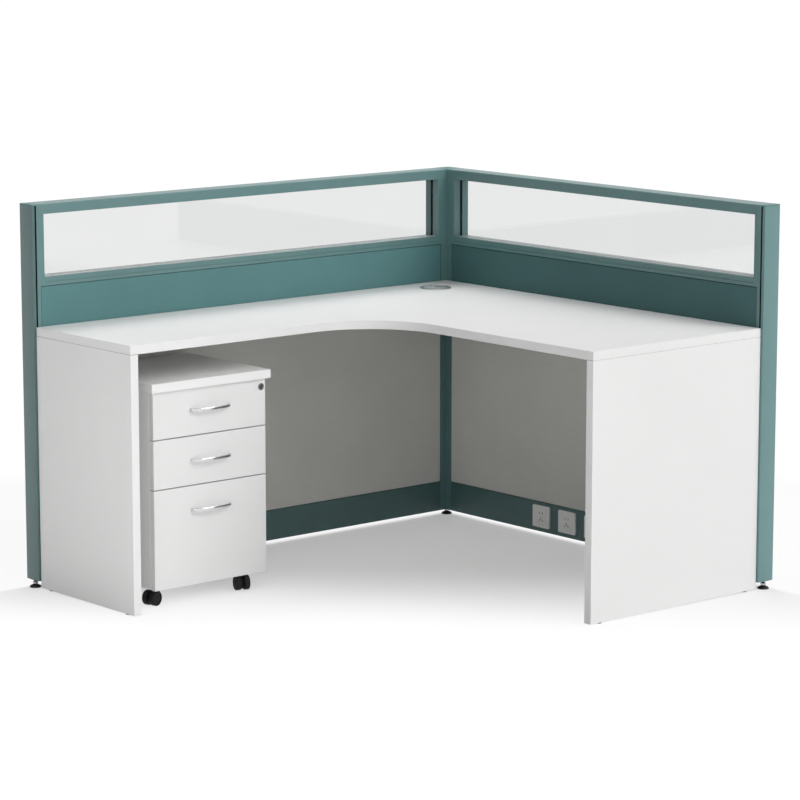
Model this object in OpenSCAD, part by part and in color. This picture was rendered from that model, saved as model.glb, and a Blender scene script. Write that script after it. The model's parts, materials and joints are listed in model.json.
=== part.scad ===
// Corner workstation: two low screens, an L-shaped desk and a mobile pedestal.
// Millimetres. +X runs along the long screen, +Y points out through it, +Z is up.
// The origin is the centre of the whole part's footprint, at floor level.

/* [Overall] */
// Overall width along the long screen
total_w = 1600; // [1400:10:2000]
// Overall depth along the short screen
total_d = 1400; // [1250:10:1800]
// Height to the top of the screens
total_h = 1095; // [1000:5:1300]
// Thickness of the screens
screen_t = 60; // [50:1:70]
// Gap between the floor and the screen frames
frame_lift = 22; // [15:1:40]

/* [Screen frame] */
// Width of the end cover, ridge included
end_post_w = 13; // [10:0.5:20]
// Height of the ridge on the end cover
ridge_rise = 3; // [1:0.5:5]
// Distance of that ridge from the inner face
ridge_from_inner = 25; // [15:1:35]
// Width of the dark groove beside the end cover
groove_w = 4.5; // [3:0.5:8]
// Depth of that groove
groove_d = 8; // [4:0.5:12]
// Seen width of the upright beside the end cover
end_stile_w = 25; // [20:1:35]
// Seen width of the upright at the inner corner
corner_stile_w = 35; // [25:1:45]
// How far tiles and panels lap over the uprights
tile_lap = 13; // [8:1:16]
// Height of the top rail
top_rail_h = 29; // [20:1:40]
// Small bevel along the top edges
top_bevel = 2; // [1:0.5:4]
// Height of the rail under the glass
mid_rail_h = 25; // [20:1:35]
// Height of the glass bottom edge above the work surface
glass_rise = 139; // [100:1:200]
// Width of the fine line cut into the rail under the glass
line_w = 2; // [1:0.5:3]
// Depth of that line
line_d = 1.5; // [0.5:0.5:3]
// Height of that line above the rail's lower edge
line_rise = 10; // [6:1:15]
// Height of the hidden rail at desk level
desk_rail_h = 50; // [40:1:70]
// Wall of the hollow rails and posts
rail_wall = 2.5; // [1.5:0.5:4]
// Height of the solid block in each post that takes a foot
foot_block_h = 45; // [35:1:60]
// Thickness of the top caps
cap_t = 4; // [2:0.5:8]

/* [Tiles and panels] */
// Thickness of each tile and panel
tile_t = 12; // [8:1:16]
// How far they sit behind the frame face
tile_recess = 1; // [0.5:0.5:3]
// Gap at the edges of tiles and panels
joint_gap = 2.5; // [1:0.5:4]
// How far below the work surface tile and lower panel meet
split_drop = 11; // [5:1:20]
// Height of the kick covers
kick_h = 91.5; // [70:0.5:120]
// Sheet thickness of the kick covers
kick_wall = 2; // [1:0.5:3]

/* [Glass] */
// Thickness of the panes
glass_t = 5; // [4:0.5:8]
// How far the panes run into the frame
glass_bite = 8; // [5:1:12]
// Thickness of the sealing strip on each side of the pane
seal_t = 2; // [1:0.5:3]
// Depth of the slot that holds pane and strip
slot_d = 10; // [8:1:14]
// How far the strip stands out of the slot
seal_lip = 2; // [1:0.5:4]
// Gap between the pane's edge and the slot floor side of the strip
seal_back = 0.5; // [0.5:0.1:1]
// Gap around the strip inside the slot
seal_gap = 0.2; // [0.1:0.1:0.5]

/* [Power outlets] */
// Width of an outlet plate
outlet_w = 73; // [60:1:90]
// Height of an outlet plate
outlet_h = 68; // [55:1:90]
// Thickness of an outlet plate
outlet_t = 6; // [4:0.5:10]
// Corner radius of an outlet plate
outlet_r = 4; // [2:0.5:8]
// Distance from the inner corner to the first plate's centre
outlet_first = 442; // [300:1:600]
// Spacing of the plates
outlet_pitch = 113; // [100:1:150]
// Height of the plate centres above the floor
outlet_z = 70; // [60:1:80]
// Width and height of the box behind a plate
outlet_box_w = 52; // [40:1:60]
// Depth of that box
outlet_box_d = 30; // [20:1:36]
// Clearance around that box
outlet_box_gap = 1; // [0.5:0.5:3]
// Length of a plug slot
pin_l = 7; // [5:0.5:9]
// Width of a plug slot
pin_w = 2.2; // [1.5:0.1:3]
// Depth of a plug slot
pin_d = 12; // [8:1:16]
// Distance between the two upper plug slots
pin_gap = 13; // [11:0.5:16]
// Height of the upper slots above the plate's centre
pin_rise = 11; // [8:0.5:16]
// Drop of the lower slots below the plate's centre
pin_drop = 11; // [8:0.5:16]
// Lean of the two outer lower slots in degrees
pin_lean = 30; // [0:5:45]

/* [Desk] */
// Height of the work surface
desk_h = 750; // [700:5:800]
// Thickness of the desk boards
board_t = 25; // [18:1:30]
// Depth of the leaf along the long screen
back_leaf_d = 450; // [400:5:600]
// Depth of the leaf along the short screen
side_leaf_d = 650; // [500:5:750]
// Radius of the curved inner front
curve_r = 240; // [150:5:400]
// Gap between the desk and the screens
wall_gap = 1; // [0.5:0.5:3]
// Distance from each free end of the screens to the desk
end_inset = 10; // [0:1:30]
// Height of the glides under the end panels
glide_h = 3; // [2:0.5:6]
// Diameter of the glides
glide_dia = 20; // [12:1:24]
// Distance of the glides from the panel ends
glide_inset = 40; // [25:1:80]

/* [Desk brackets] */
// Length of each leg of a steel angle
bracket_leg = 50; // [40:1:80]
// Width of a steel angle
bracket_w = 50; // [30:1:80]
// Thickness of a steel angle
bracket_t = 3; // [2:0.5:5]
// Spacing of the two screws in a leg
screw_span = 28; // [20:1:40]
// Diameter of a screw shank
screw_dia = 4; // [3:0.5:6]
// Length of a screw shank in the desk top
screw_l = 14; // [8:1:18]
// Length of a screw shank behind the upright leg
wall_screw_l = 18; // [14:1:22]
// Radial gap around a screw shank
screw_gap = 0.1; // [0.05:0.05:0.3]
// Diameter of a screw head
screw_head_dia = 9; // [7:0.5:12]
// Height of a screw head
screw_head_h = 2.5; // [1.5:0.5:4]

/* [Cable outlet] */
// Distance of its centre from the long screen
grommet_back = 115; // [80:1:200]
// Distance of its centre from the short screen
grommet_side = 145; // [80:1:200]
// Diameter of the hole in the top
grommet_hole_dia = 80; // [50:1:90]
// Diameter of the ring's flange
grommet_flange_dia = 96; // [60:1:110]
// Height of the ring above the top
grommet_flange_h = 3; // [2:0.5:5]
// Gap between the ring's sleeve and the hole
grommet_gap = 0.5; // [0.3:0.1:1]
// Wall of the ring's sleeve
grommet_wall = 2.5; // [2:0.5:4]
// Diameter of the lid
lid_dia = 72; // [40:1:80]
// Thickness of the lid
lid_t = 2.5; // [2:0.5:4]
// Gap around the lid
lid_gap = 0.1; // [0.05:0.01:0.2]
// Width of the ledge that the lid sits on
ledge_w = 3; // [2:0.5:5]
// Thickness of that ledge
ledge_t = 2; // [1.5:0.5:3]
// Gap between the lid and the ledge
ledge_gap = 0.1; // [0.05:0.05:0.3]
// Width of the cable slot in the lid
cable_slot_w = 16; // [10:1:25]
// Length of the cable slot from the lid's edge
cable_slot_l = 40; // [25:1:50]
// Turn of the lid at rest in degrees
lid_turn = -40.5; // [-180:0.5:180]

/* [Pedestal carcass] */
// Width of the pedestal top
ped_top_w = 413; // [380:1:480]
// Drop from the work surface to the top of the pedestal
ped_drop = 123; // [90:1:180]
// Overhang of the pedestal top at the sides
ped_over_side = 10; // [0:1:20]
// Overhang of the pedestal top in front of the drawers
ped_over_front = 12; // [0:1:20]
// Distance from the long screen to the back of the pedestal top
ped_back_gap = 20; // [10:1:60]
// Distance from the long screen to the front of the pedestal top
ped_front_y = 404; // [380:1:440]
// Gap between the end panel and the pedestal top
ped_end_gap = 78; // [40:1:200]
// Thickness of the pedestal boards
ped_board_t = 16; // [15:1:19]
// Height of the carcass underside above the floor
ped_lift = 46; // [40:1:80]
// Inset of the back board
ped_back_inset = 4; // [0:1:20]

/* [Drawers] */
// Thickness of a drawer front
front_t = 18; // [15:1:20]
// Gap between a front and the carcass behind it
front_gap = 1; // [0.5:0.5:3]
// Inset of the fronts from the carcass sides
front_inset = 1; // [0:0.5:3]
// Gap between fronts
front_split = 3; // [2:0.5:5]
// Height of the top front
front_1_h = 132; // [110:1:160]
// Height of the middle front
front_2_h = 137; // [110:1:160]
// How far the lowest front hangs below the carcass underside
front_drop = 2; // [0:0.5:4]
// Gap under the pedestal top
front_top_gap = 1.5; // [1:0.5:3]
// Wall of a drawer box
box_wall = 12; // [9:1:16]
// Thickness of a drawer bottom
box_floor = 5; // [3:0.5:9]
// Height of the drawer bottom above the box's lower edge
box_floor_rise = 8; // [5:1:15]
// Length of a drawer box
box_l = 326; // [280:1:400]
// Height of the top drawer box
box_1_h = 84; // [60:1:100]
// Height of the middle drawer box
box_2_h = 92; // [60:1:110]
// Drop from the lowest front's upper edge to the rim of its box
box_3_drop = 33.5; // [20:0.5:60]
// Height of each box above its front's lower edge
box_rise = 13; // [8:1:32]
// Height of the lowest box above its front's lower edge
box_3_rise = 26; // [20:1:40]
// Space between a box and the carcass side
runner_space = 12.5; // [12:0.1:14]
// Height of a fixed runner
runner_h = 35; // [27:1:45]
// Length of a runner
runner_l = 320; // [270:1:380]
// Height of a runner above the box's lower edge
runner_rise = 18; // [10:1:40]
// Sheet thickness of a runner
runner_wall = 1.5; // [1:0.5:2]
// Running gap inside a runner
runner_gap = 0.4; // [0.2:0.1:1]
// Height of the screwed edge of the sliding member
slide_pad_h = 12; // [8:1:16]
// Distance of the handle's centre below the top of the first front
handle_1_drop = 60; // [40:1:75]
// Distance of the handle's centre below the top of the second front
handle_2_drop = 67; // [40:1:75]
// Distance of the handle's centre below the top of the third front
handle_3_drop = 67; // [40:1:120]

/* [Handles] */
// Overall length of a handle
handle_l = 138; // [110:1:180]
// How far a handle stands out
handle_out = 25; // [20:1:35]
// Thickness of a handle's bar
handle_t = 5; // [3:0.5:8]
// Height of a handle's bar
handle_h = 10; // [6:1:16]
// Length of each foot of a handle
handle_foot_l = 12; // [8:1:18]

/* [Lock] */
// Distance of the lock from the right edge of the drawer front
lock_from_side = 16; // [14:0.5:40]
// Distance of the lock below the top of the drawer front
lock_from_top = 22; // [15:0.5:40]
// Diameter of the lock's flange
lock_flange_dia = 20; // [16:0.5:24]
// Height of that flange
lock_flange_h = 2; // [1:0.5:3]
// Diameter of the lock housing
lock_body_dia = 15.5; // [12:0.5:19]
// Diameter of the turning plug
plug_dia = 10; // [8:0.5:13]
// Radial running gap of the plug
plug_gap = 0.08; // [0.02:0.01:0.1]
// How far the plug stands behind the front
plug_tail = 12; // [8:1:16]
// Reach of the cam from the plug's axis
cam_reach = 11; // [8:0.5:14]
// Width of the cam
cam_w = 7; // [5:0.5:10]
// Thickness of the cam
cam_t = 3; // [2:0.5:4]
// Height of the pocket for the cam in the carcass side
pocket_h = 32; // [26:1:40]
// Depth of that pocket along the drawer's travel
pocket_l = 18; // [14:1:24]
// Wood left outside that pocket
pocket_skin = 4; // [3:0.5:6]
// Width of the key slot
key_w = 1.6; // [1:0.1:2.5]
// Length of the key slot
key_l = 7; // [5:0.5:9]
// Depth of the key slot
key_d = 14; // [8:1:18]

/* [Castors] */
// Diameter of a wheel
wheel_dia = 42; // [35:1:60]
// Width of one wheel of a pair
wheel_w = 15; // [10:1:20]
// Rounding of a wheel's outer edge
wheel_r = 3; // [1:0.5:5]
// Thickness of the housing between the wheels
hood_t = 10; // [7:0.5:14]
// Gap beside the wheels
wheel_gap = 0.5; // [0.3:0.1:1]
// Diameter of the housing disc
hood_dia = 36; // [30:1:50]
// Offset of the wheel axis from the swivel axis
trail = 22; // [15:1:30]
// Diameter of the axle
axle_dia = 6; // [4:0.5:8]
// Radial running gap of the axle and of the stem
pin_fit = 0.08; // [0.02:0.01:0.1]
// Diameter of the stem
stem_dia = 8; // [6:0.5:11]
// Diameter of the collar under the stem
collar_dia = 20; // [16:0.5:26]
// Height of that collar
collar_h = 3; // [2:0.5:6]
// Gap between the collar and the carcass
collar_gap = 0.2; // [0.1:0.1:0.5]
// Stem length inside the carcass
stem_l = 13; // [10:0.5:15]
// Distance of the left stems from the pedestal's left side
stem_left = 30; // [28:1:80]
// Distance of the right stems from the pedestal's right side
stem_right = 73; // [28:1:90]
// Distance of the front stems behind the drawer fronts
stem_front = 15; // [12:1:40]
// Distance of the rear stems from the pedestal's back edge
stem_back = 46; // [40:1:80]
// Heading of the front left castor in degrees
heading_1 = 198; // [0:1:360]
// Heading of the front right castor in degrees
heading_2 = 250; // [0:1:360]
// Heading of the rear left castor in degrees
heading_3 = 165; // [0:1:360]
// Heading of the rear right castor in degrees
heading_4 = 215; // [0:1:360]

/* [Levelling feet] */
// Diameter of a foot's disc
foot_dia = 34; // [25:1:50]
// Height of a foot's disc
foot_h = 6; // [4:0.5:10]
// Height of the cone above the disc
foot_cone_h = 4; // [2:0.5:8]
// Diameter of the foot's stem
foot_stem_dia = 9; // [6:0.5:12]
// Length of the stem inside the post
foot_stem_in = 30; // [20:1:40]
// Distance of an end foot from the end of the screens
foot_end_inset = 6.5; // [6:0.5:30]

/* [Hidden] */

$fn = 64;
// Overrun of every cut past the faces it opens
over_share = 0.001;
over = total_h * over_share;

// The end feet reach past the ends of the screens by this much
foot_over = foot_dia / 2 - foot_end_inset - foot_stem_dia / 2;

// Inner corner of the screens
in_x = (total_w + foot_over) / 2 - screen_t;
in_y = (total_d + foot_over) / 2 - screen_t;
back_l = total_w - screen_t;
side_l = total_d - screen_t;

// Heights that follow the work surface
split_z = desk_h - split_drop;
glass_z = desk_h + glass_rise;
ped_h = desk_h - ped_drop;

// Runs along a screen, measured from the inner corner towards its free end
function stile_in(l) = l - end_post_w - groove_w;
function open_end(l) = stile_in(l) - end_stile_w;
open_near = corner_stile_w;
rail_z1 = total_h - top_rail_h;
mid_z0 = glass_z - mid_rail_h;
kick_z1 = frame_lift + kick_h;
tile_in = tile_recess + tile_t;

// Desk outline, measured as x and y in the part's frame
desk_x0 = in_x - back_l + end_inset;
desk_x1 = in_x - wall_gap;
desk_y0 = in_y - side_l + end_inset;
desk_y1 = in_y - wall_gap;
desk_front_y = in_y - back_leaf_d;
desk_front_x = in_x - side_leaf_d;
board_z0 = desk_h - board_t;

grommet_x = in_x - grommet_side;
grommet_y = in_y - grommet_back;

// Pedestal
ped_x0 = desk_x0 + board_t + ped_end_gap;
ped_x1 = ped_x0 + ped_top_w;
ped_y1 = in_y - ped_back_gap;
ped_y0 = in_y - ped_front_y;
car_x0 = ped_x0 + ped_over_side;
car_x1 = ped_x1 - ped_over_side;
front_y0 = ped_y0 + ped_over_front;
front_y1 = front_y0 + front_t;
car_y0 = front_y1 + front_gap;
car_y1 = ped_y1 - ped_back_inset;
ped_z1 = ped_h - board_t;
car_mid = (car_x0 + car_x1) / 2;
f1_z1 = ped_z1 - front_top_gap;
f1_z0 = f1_z1 - front_1_h;
f2_z1 = f1_z0 - front_split;
f2_z0 = f2_z1 - front_2_h;
f3_z1 = f2_z0 - front_split;
f3_z0 = ped_lift - front_drop;
box_3_h = f3_z1 - f3_z0 - box_3_rise - box_3_drop;
box_x0 = car_x0 + ped_board_t + runner_space;
box_x1 = car_x1 - ped_board_t - runner_space;
lock_x = car_x1 - front_inset - lock_from_side;
lock_z = f1_z1 - lock_from_top;

// Castor stems: x, y and heading of each
castors = [
    [car_x0 + stem_left, car_y0 + stem_front, heading_1],
    [car_x1 - stem_right, car_y0 + stem_front, heading_2],
    [car_x0 + stem_left, car_y1 - stem_back, heading_3],
    [car_x1 - stem_right, car_y1 - stem_back, heading_4]
];
wheel_r_out = wheel_dia / 2;

// Colours
teal = [0.25, 0.42, 0.42];
grey = [0.5, 0.5, 0.48];
white = [0.92, 0.92, 0.92];
steel = [0.6, 0.6, 0.62];
black = [0.08, 0.08, 0.08];
clear = [0.8, 0.88, 0.88, 0.4];
pale = [0.82, 0.82, 0.8];

// A box given by its low and high corners
module block(a, b) {
    translate(a) cube(b - a);
}

// Puts a piece drawn for the long screen into the part's frame.
// There x runs from the free end (negative) to the inner corner at 0, and y runs
// from the inner face at 0 to the outer face.
module on_back() {
    translate([in_x, in_y, 0]) children();
}

// The same for the short screen
module on_side() {
    translate([in_x, in_y, 0]) mirror([1, -1, 0]) children();
}

// Both faces of a screen
module both_faces() {
    children();
    translate([0, screen_t, 0]) mirror([0, 1, 0]) children();
}

// Screen frame
module slot_cut(a, b, z0, z1) {
    half = glass_t / 2 + seal_t;
    mid = screen_t / 2;
    block([-a, mid - half, z0], [-b, mid + half, z1]);
}

module top_rail(l) {
    x0 = -stile_in(l);
    w = rail_wall;
    difference() {
        translate([x0, 0, 0]) rotate([90, 0, 90]) linear_extrude(-x0)
            polygon([[0, rail_z1], [screen_t, rail_z1], [screen_t, total_h - top_bevel],
                [screen_t - top_bevel, total_h], [top_bevel, total_h],
                [0, total_h - top_bevel]]);
        block([x0 - over, w, rail_z1 + slot_d + w],
            [over, screen_t - w, total_h - top_bevel - w]);
        slot_cut(open_end(l) + slot_d, open_near - slot_d, rail_z1 - over,
            rail_z1 + slot_d);
    }
}

module mid_rail(l) {
    x0 = -open_end(l);
    w = rail_wall;
    z = mid_z0 + line_rise;
    difference() {
        block([x0, 0, mid_z0], [-open_near, screen_t, glass_z]);
        block([x0 - over, w, mid_z0 + w],
            [-open_near + over, screen_t - w, glass_z - slot_d - w]);
        slot_cut(open_end(l) + over, open_near - over, glass_z - slot_d,
            glass_z + over);
        both_faces() block([x0 - over, -over, z], [-open_near + over, line_d,
            z + line_w]);
    }
}

module desk_rail(l) {
    x0 = -open_end(l);
    w = rail_wall;
    z0 = split_z - desk_rail_h;
    difference() {
        block([x0, tile_in, z0], [-open_near, screen_t - tile_in, z0 + desk_rail_h]);
        block([x0 - over, tile_in + w, z0 + w],
            [-open_near + over, screen_t - tile_in - w, z0 + desk_rail_h - w]);
        bracket_pilots(l);
    }
}

module base_rail(l, boxes) {
    x0 = -open_end(l);
    w = rail_wall;
    g = outlet_box_gap;
    difference() {
        block([x0, tile_in, frame_lift], [-open_near, screen_t - tile_in, kick_z1]);
        block([x0 - over, tile_in + w, frame_lift + w],
            [-open_near + over, screen_t - tile_in - w, kick_z1 - w]);
        if (boxes) outlet_holes(tile_in - over, tile_in + w + over, g);
    }
}

// A hollow upright: a full-depth column, and a narrower core under the tiles
module stile(x0, x1, lap_x0, lap_x1, slot_x0, slot_x1, col, core) {
    half = glass_t / 2 + seal_t;
    mid = screen_t / 2;
    w = rail_wall;
    difference() {
        block([x0, 0, frame_lift], [x1, screen_t, rail_z1]);
        block([col[0] + w, w, frame_lift - over],
            [col[1] - w, screen_t - w, rail_z1 + over]);
        block([core[0], tile_in + w, frame_lift - over],
            [core[1], screen_t - tile_in - w, glass_z - slot_d - w]);
        both_faces() block([lap_x0, -over, frame_lift - over],
            [lap_x1, tile_in, mid_z0]);
        block([slot_x0, mid - half, glass_z - slot_d], [slot_x1, mid + half,
            rail_z1 + over]);
    }
}

module stiles(l) {
    a = -stile_in(l);
    b = -open_end(l);
    c = -open_near;
    w = rail_wall;
    stile(a, b, b - tile_lap, b + over, b - slot_d, b + over,
        [a, b - tile_lap], [b - tile_lap, b - w]);
    stile(c, 0, c - over, c + tile_lap, c - over, c + slot_d,
        [c + tile_lap, 0], [c + w, c + tile_lap]);
}

module end_post(l) {
    z1 = total_h - cap_t;
    a = -l;
    b = -l + end_post_w;
    c = b + groove_w;
    w = rail_wall;
    difference() {
        union() {
            translate([0, 0, frame_lift]) linear_extrude(z1 - frame_lift)
                polygon([[a + ridge_rise, 0], [b, 0], [b, screen_t],
                    [a + ridge_rise, screen_t], [a, ridge_from_inner]]);
            block([b - over, groove_d, frame_lift], [c, screen_t - groove_d, z1]);
        }
        block([a + ridge_rise + w, groove_d + w, frame_lift + foot_block_h],
            [c - w, screen_t - groove_d - w, z1 + over]);
        foot_bore(-l + foot_end_inset + foot_stem_dia / 2, screen_t / 2);
    }
}

module end_cap(l) {
    a = -l;
    b = -l + end_post_w + groove_w;
    translate([0, 0, total_h - cap_t]) linear_extrude(cap_t)
        polygon([[a + ridge_rise, 0], [b, 0], [b, screen_t],
            [a + ridge_rise, screen_t], [a, ridge_from_inner]]);
}

module corner_post() {
    z1 = total_h - cap_t;
    w = rail_wall;
    on_back() color(teal) difference() {
        block([0, 0, frame_lift], [screen_t, screen_t, z1]);
        block([w, w, frame_lift + foot_block_h], [screen_t - w, screen_t - w,
            z1 + over]);
        foot_bore(screen_t / 2, screen_t / 2);
    }
}

module corner_cap() {
    z1 = total_h - cap_t;
    on_back() color(teal) difference() {
        block([0, 0, z1], [screen_t, screen_t, total_h]);
        difference() {
            block([-over, -over, total_h - top_bevel],
                [screen_t + over, screen_t + over, total_h + over]);
            hull() {
                block([0, 0, total_h - top_bevel - over], [screen_t, screen_t,
                    total_h - top_bevel]);
                block([0, 0, total_h - over], [screen_t - top_bevel,
                    screen_t - top_bevel, total_h]);
            }
        }
    }
}

// Tiles, panels and covers, drawn on the inner face
module tile(l, z0, z1) {
    g = joint_gap / 2;
    block([-open_end(l) - tile_lap + g, tile_recess, z0 + g],
        [-open_near + tile_lap - g, tile_in, z1 - g]);
}

module kick_cover(l) {
    g = joint_gap / 2;
    w = kick_wall;
    x0 = -open_end(l) + g;
    x1 = -open_near - g;
    block([-open_end(l) - tile_lap + g, tile_recess, frame_lift],
        [-open_near + tile_lap - g, tile_recess + w, kick_z1]);
    block([x0, tile_recess, kick_z1 - w], [x1, tile_in, kick_z1]);
    block([x0, tile_recess, frame_lift], [x1, tile_in, frame_lift + w]);
}

// Glass and seals
module pane(l) {
    x0 = -open_end(l) - glass_bite;
    x1 = -open_near + glass_bite;
    mid = screen_t / 2;
    block([x0, mid - glass_t / 2, glass_z - glass_bite],
        [x1, mid + glass_t / 2, rail_z1 + glass_bite]);
}

module seal(l) {
    g = slot_d - seal_gap;
    half = glass_t / 2 + seal_t - seal_gap;
    mid = screen_t / 2;
    p = glass_bite + seal_back;
    difference() {
        block([-open_end(l) - g, mid - half, glass_z - g],
            [-open_near + g, mid + half, rail_z1 + g]);
        block([-open_end(l) + seal_lip, mid - half - over, glass_z + seal_lip],
            [-open_near - seal_lip, mid + half + over, rail_z1 - seal_lip]);
        block([-open_end(l) - p, mid - glass_t / 2, glass_z - p],
            [-open_near + p, mid + glass_t / 2, rail_z1 + p]);
    }
}

// Outlets on the short screen, drawn with y as depth
module outlet_holes(y0, y1, g) {
    half = outlet_box_w / 2 + g;
    for (i = [0:2]) {
        x = -outlet_first - i * outlet_pitch;
        block([x - half, y0, outlet_z - half], [x + half, y1, outlet_z + half]);
    }
}

module pin_slot(x, z, lean) {
    translate([x, tile_recess - outlet_t, z]) rotate([0, lean, 0])
        translate([-pin_w / 2, -over, -pin_l / 2])
            cube([pin_w, pin_d + over, pin_l]);
}

module outlet(x) {
    half = outlet_box_w / 2;
    difference() {
        union() {
            translate([x, tile_recess, outlet_z]) rotate([90, 0, 0])
                linear_extrude(outlet_t) rounded(outlet_w, outlet_h, outlet_r);
            block([x - half, tile_recess - over, outlet_z - half],
                [x + half, tile_recess + outlet_box_d, outlet_z + half]);
        }
        for (s = [-1, 1]) {
            pin_slot(x + s * pin_gap / 2, outlet_z + pin_rise, 0);
            pin_slot(x + s * pin_gap / 2, outlet_z - pin_drop, -s * pin_lean);
        }
        pin_slot(x, outlet_z - pin_drop + pin_l, 0);
    }
}

module rounded(w, h, r) {
    union() {
        square([w - 2 * r, h], center = true);
        square([w, h - 2 * r], center = true);
        for (sx = [-1, 1], sy = [-1, 1])
            translate([sx * (w / 2 - r), sy * (h / 2 - r)]) circle(r);
    }
}

// Levelling feet
module foot_bore(x, y) {
    translate([x, y, frame_lift - over])
        cylinder(d = foot_stem_dia + 2 * pin_fit, h = foot_stem_in + 2 * over);
}

module foot(x, y) {
    translate([x, y, 0]) color(black) union() {
        cylinder(d = foot_dia, h = foot_h);
        translate([0, 0, foot_h - over])
            cylinder(d1 = foot_dia, d2 = foot_stem_dia, h = foot_cone_h + over);
        cylinder(d = foot_stem_dia, h = frame_lift + foot_stem_in);
    }
}

// Desk
module desktop() {
    r = curve_r;
    cx = desk_front_x - r;
    cy = desk_front_y - r;
    color(white) difference() {
        union() {
            block([desk_x0, desk_front_y, board_z0], [desk_x1, desk_y1, desk_h]);
            block([desk_front_x, desk_y0, board_z0], [desk_x1, desk_y1, desk_h]);
            difference() {
                block([cx, cy, board_z0], [desk_front_x + over, desk_front_y + over,
                    desk_h]);
                translate([cx, cy, board_z0 - over])
                    cylinder(r = r, h = board_t + 2 * over, $fn = 128);
            }
        }
        translate([grommet_x, grommet_y, board_z0 - over])
            cylinder(d = grommet_hole_dia, h = board_t + 2 * over);
        all_bracket_shanks();
    }
}

module end_panel_back() {
    color(white) difference() {
        block([desk_x0, desk_front_y, glide_h], [desk_x0 + board_t, desk_y1, board_z0]);
        all_bracket_shanks();
    }
}

module end_panel_side() {
    color(white) difference() {
        block([desk_front_x, desk_y0, glide_h], [desk_x1, desk_y0 + board_t, board_z0]);
        all_bracket_shanks();
    }
}

module panel_glides() {
    x = desk_x0 + board_t / 2;
    y = desk_y0 + board_t / 2;
    g = glide_inset;
    color(black) {
        for (p = [[x, desk_front_y + g], [x, desk_y1 - g], [desk_front_x + g, y],
            [desk_x1 - g, y]])
            translate([p[0], p[1], 0]) cylinder(d = glide_dia, h = glide_h);
    }
}

// A steel angle under the top: one leg up against it, one on the surface behind.
// Drawn with that surface at y = 0 and the angle on its negative side.
module angle() {
    w = bracket_w / 2;
    t = bracket_t;
    difference() {
        union() {
            block([-w, -bracket_leg, board_z0 - t], [w, 0, board_z0]);
            block([-w, -t, board_z0 - bracket_leg], [w, 0, board_z0]);
        }
        angle_shanks();
    }
}

module angle_shanks() {
    mid = bracket_leg / 2 + bracket_t / 2;
    d = screw_dia + 2 * screw_gap;
    for (s = [-1, 1]) {
        translate([s * screw_span / 2, -mid, board_z0 - bracket_t - over])
            cylinder(d = d, h = bracket_t + screw_l + 2 * over, $fn = 24);
        translate([s * screw_span / 2, -bracket_t - over, board_z0 - mid])
            rotate([-90, 0, 0])
                cylinder(d = d, h = bracket_t + wall_screw_l + 2 * over, $fn = 24);
    }
}

module angle_screws() {
    mid = bracket_leg / 2 + bracket_t / 2;
    for (s = [-1, 1]) {
        translate([s * screw_span / 2, -mid, board_z0 - bracket_t])
            one_screw(screw_l);
        translate([s * screw_span / 2, -bracket_t, board_z0 - mid])
            rotate([-90, 0, 0]) one_screw(wall_screw_l);
    }
}

// A screw whose head sits below z = 0 and whose shank points up
module one_screw(l) {
    translate([0, 0, -screw_head_h])
        cylinder(d = screw_head_dia, h = screw_head_h, $fn = 24);
    translate([0, 0, -over])
        cylinder(d = screw_dia, h = bracket_t + l + over, $fn = 24);
}

face_y = in_y + tile_recess;
face_x = in_x + tile_recess;
// Places of the angles: x, y and turn
angles = [
    [in_x - back_l * third_share(1), face_y, 0],
    [in_x - back_l * third_share(2), face_y, 0],
    [face_x, in_y - side_l * third_share(1), -90],
    [face_x, in_y - side_l * third_share(2), -90],
    [desk_x0 + board_t, in_y - back_leaf_d * quarter_share(1), 90],
    [desk_x0 + board_t, in_y - back_leaf_d * quarter_share(3), 90],
    [in_x - side_leaf_d * quarter_share(1), desk_y0 + board_t, 180],
    [in_x - side_leaf_d * quarter_share(3), desk_y0 + board_t, 180]
];
function third_share(n) = n / 3;
function quarter_share(n) = n / 4;

module at_angles() {
    for (p = angles) translate([p[0], p[1], 0]) rotate([0, 0, p[2]]) children();
}

module all_bracket_shanks() {
    at_angles() angle_shanks();
}

// The same holes seen from the long screen's or the short screen's own axes
module bracket_pilots(l) {
    mid = bracket_leg / 2 + bracket_t / 2;
    for (n = [1, 2], s = [-1, 1])
        translate([-l * third_share(n) + s * screw_span / 2, 0, board_z0 - mid])
            rotate([-90, 0, 0])
                cylinder(d = screw_dia + 2 * screw_gap,
                    h = tile_recess + wall_screw_l + over, $fn = 24);
}

// Cable outlet
module grommet_ring() {
    sleeve = grommet_hole_dia - 2 * grommet_gap;
    seat = lid_dia + 2 * lid_gap;
    z_seat = desk_h + grommet_flange_h - lid_t - ledge_gap;
    translate([grommet_x, grommet_y, 0]) color(steel) difference() {
        union() {
            translate([0, 0, desk_h])
                cylinder(d = grommet_flange_dia, h = grommet_flange_h);
            translate([0, 0, board_z0])
                cylinder(d = sleeve, h = board_t + over);
        }
        translate([0, 0, z_seat])
            cylinder(d = seat, h = grommet_flange_h + 2 * over);
        translate([0, 0, board_z0 - over])
            cylinder(d = seat - 2 * ledge_w, h = board_t + grommet_flange_h);
        translate([0, 0, board_z0 - over])
            cylinder(d = sleeve - 2 * grommet_wall,
                h = z_seat - ledge_t - board_z0 + over);
    }
}

module grommet_lid() {
    z0 = desk_h + grommet_flange_h - lid_t;
    r = lid_dia / 2;
    w = cable_slot_w;
    color(steel) translate([grommet_x, grommet_y, z0]) rotate([0, 0, lid_turn])
        difference() {
        cylinder(d = lid_dia, h = lid_t);
        translate([r - cable_slot_l + w / 2, -w / 2, -over])
            cube([cable_slot_l, w, lid_t + 2 * over]);
        translate([r - cable_slot_l + w / 2, 0, -over])
            cylinder(d = w, h = lid_t + 2 * over, $fn = 32);
    }
}

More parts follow.
